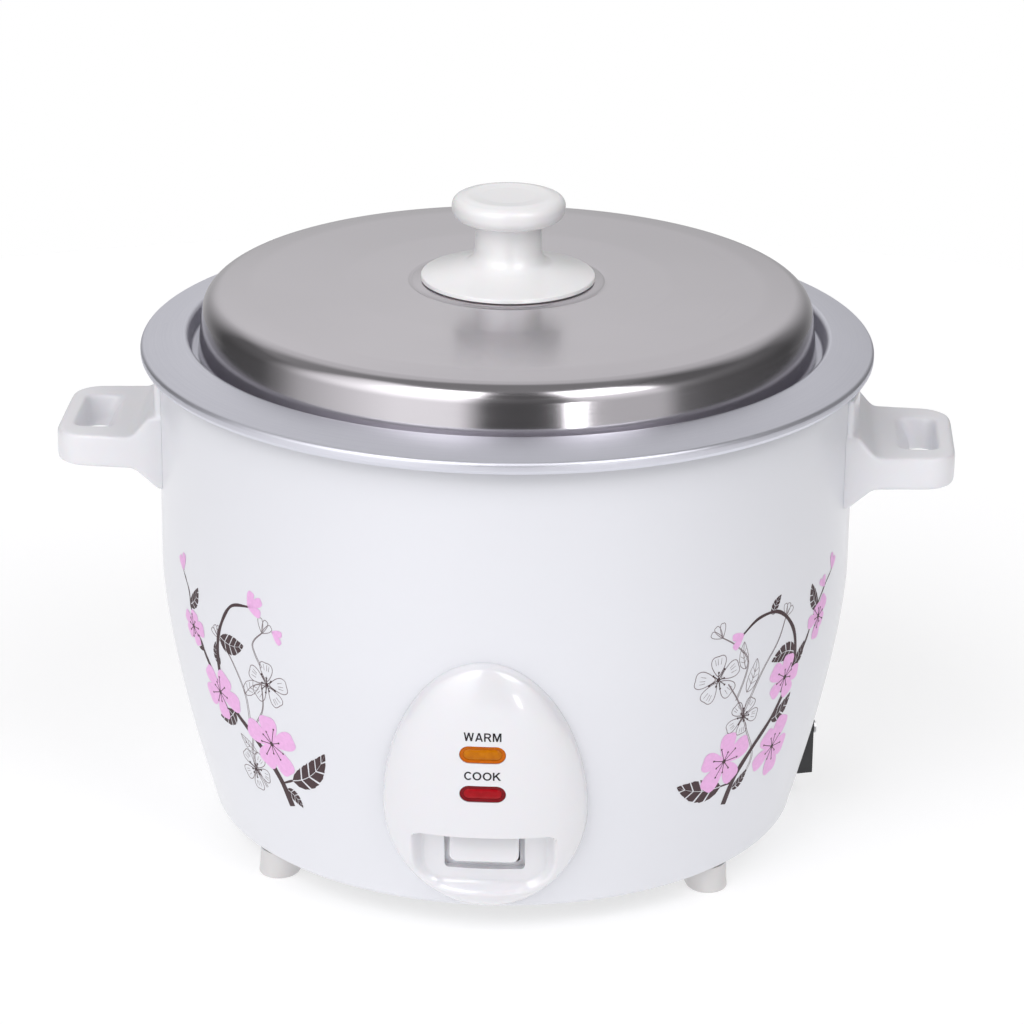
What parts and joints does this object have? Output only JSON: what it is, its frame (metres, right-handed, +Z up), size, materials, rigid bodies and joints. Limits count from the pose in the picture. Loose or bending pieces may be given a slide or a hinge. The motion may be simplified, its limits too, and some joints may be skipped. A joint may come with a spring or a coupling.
{
  "type": "rice cooker",
  "caption": "Drum rice cooker: tapered white shell with two loop handles, egg-shaped panel with a press lever and lamps, lift-out pot with a wide rim, and a lid with a knob.",
  "frame": {"origin": "on the cooker's axis, in the plane of the feet's undersides", "axes": "+Z up along the cooker's axis, +X through the right handle, -Y out of the control panel"},
  "size_m": [0.3312, 0.2716, 0.2438],
  "materials": {
    "white_enamel": "gloss white baked paint with printed blossom pattern",
    "white_plastic": "glossy white moulded plastic",
    "black_plastic": "black moulded plastic",
    "amber_lens": "translucent amber",
    "red_lens": "translucent red",
    "lamp_glass": "clear neon lamp",
    "polished_steel": "polished stainless sheet with fine turned brush lines",
    "galvanised_steel": "zinc plated sheet",
    "spring_steel": "bright zinc plated",
    "satin_aluminium": "satin anodised",
    "cast_aluminium": "cast and turned",
    "brass": "nickel free blade contacts",
    "ferrite": "sintered, dull dark grey",
    "ceramic": "cream ceramic",
    "red_wire": "silicone sleeve",
    "blue_wire": "silicone sleeve"
  },
  "bodies": {
    "base": {"outer_body": "white_enamel", "base_plate": "galvanised_steel", "inner_liner": "galvanised_steel", "plate_support_1": "galvanised_steel", "plate_support_2": "galvanised_steel", "plate_support_3": "galvanised_steel", "sensor_guide": "galvanised_steel", "lever_bracket": "galvanised_steel", "foot_front_left": "white_plastic", "foot_front_right": "white_plastic", "foot_rear_left": "white_plastic", "foot_rear_right": "white_plastic", "handle_left": "white_plastic", "handle_right": "white_plastic", "panel_bezel": "white_plastic", "foot_screw_front_left": "spring_steel", "foot_screw_front_right": "spring_steel", "foot_screw_rear_left": "spring_steel", "foot_screw_rear_right": "spring_steel", "handle_screw_left_front": "spring_steel", "handle_screw_left_rear": "spring_steel", "handle_screw_right_front": "spring_steel", "handle_screw_right_rear": "spring_steel", "inlet_screw_front": "spring_steel", "inlet_screw_rear": "spring_steel", "lever_pivot_pin": "spring_steel", "warm_lens": "amber_lens", "cook_lens": "red_lens", "warm_lamp": "lamp_glass", "cook_lamp": "lamp_glass", "inlet_housing": "black_plastic", "micro_switch": "black_plastic", "inlet_pin_live": "brass", "inlet_pin_neutral": "brass", "inlet_pin_earth": "brass", "heating_plate": "cast_aluminium", "heating_element": "cast_aluminium", "thermal_fuse": "ceramic", "keep_warm_resistor": "ceramic", "wire_live": "red_wire", "wire_neutral": "blue_wire", "wire_heater": "blue_wire"},
    "pot": {"inner_pot": "satin_aluminium"},
    "lid": {"lid": "polished_steel", "lid_knob": "white_plastic", "knob_screw": "spring_steel", "knob_washer": "galvanised_steel"},
    "sensor": {"sensor_cap": "satin_aluminium", "ferrite_core": "ferrite", "sensor_spring": "spring_steel"},
    "magnet": {"magnet": "ferrite", "magnet_rod": "spring_steel", "magnet_spring": "spring_steel"},
    "switch": {"cook_button": "white_plastic", "switch_lever": "galvanised_steel"}
  },
  "joints": [
    {"name": "pot_lift", "type": "slide", "parent": "base", "child": "pot", "axis": [0, 0, 1], "range_m": [0, 0.15]},
    {"name": "lid_lift", "type": "slide", "parent": "pot", "child": "lid", "axis": [0, 0, 1], "range_m": [0, 0.1]},
    {"name": "sensor_press", "type": "slide", "parent": "base", "child": "sensor", "axis": [0, 0, 1], "range_m": [-0.0015, 0], "stiffness_N_per_m": 600, "springref_m": 0.005, "deforming": ["sensor_spring"]},
    {"name": "cook_switch", "type": "hinge", "parent": "base", "child": "switch", "pos_m": [0, -0.07, 0.038], "axis": [1, 0, 0], "range_deg": [0, 2.5], "stiffness_Nm_per_rad": 0.5, "springref_deg": -17.19},
    {"name": "magnet_lift", "type": "slide", "parent": "base", "child": "magnet", "axis": [0, 0, 1], "range_m": [0, 0.0031], "deforming": ["magnet_spring"]}
  ],
  "couplings": [
    {"joint": "magnet_lift", "follows": "cook_switch", "m_per_rad": 0.07}
  ]
}
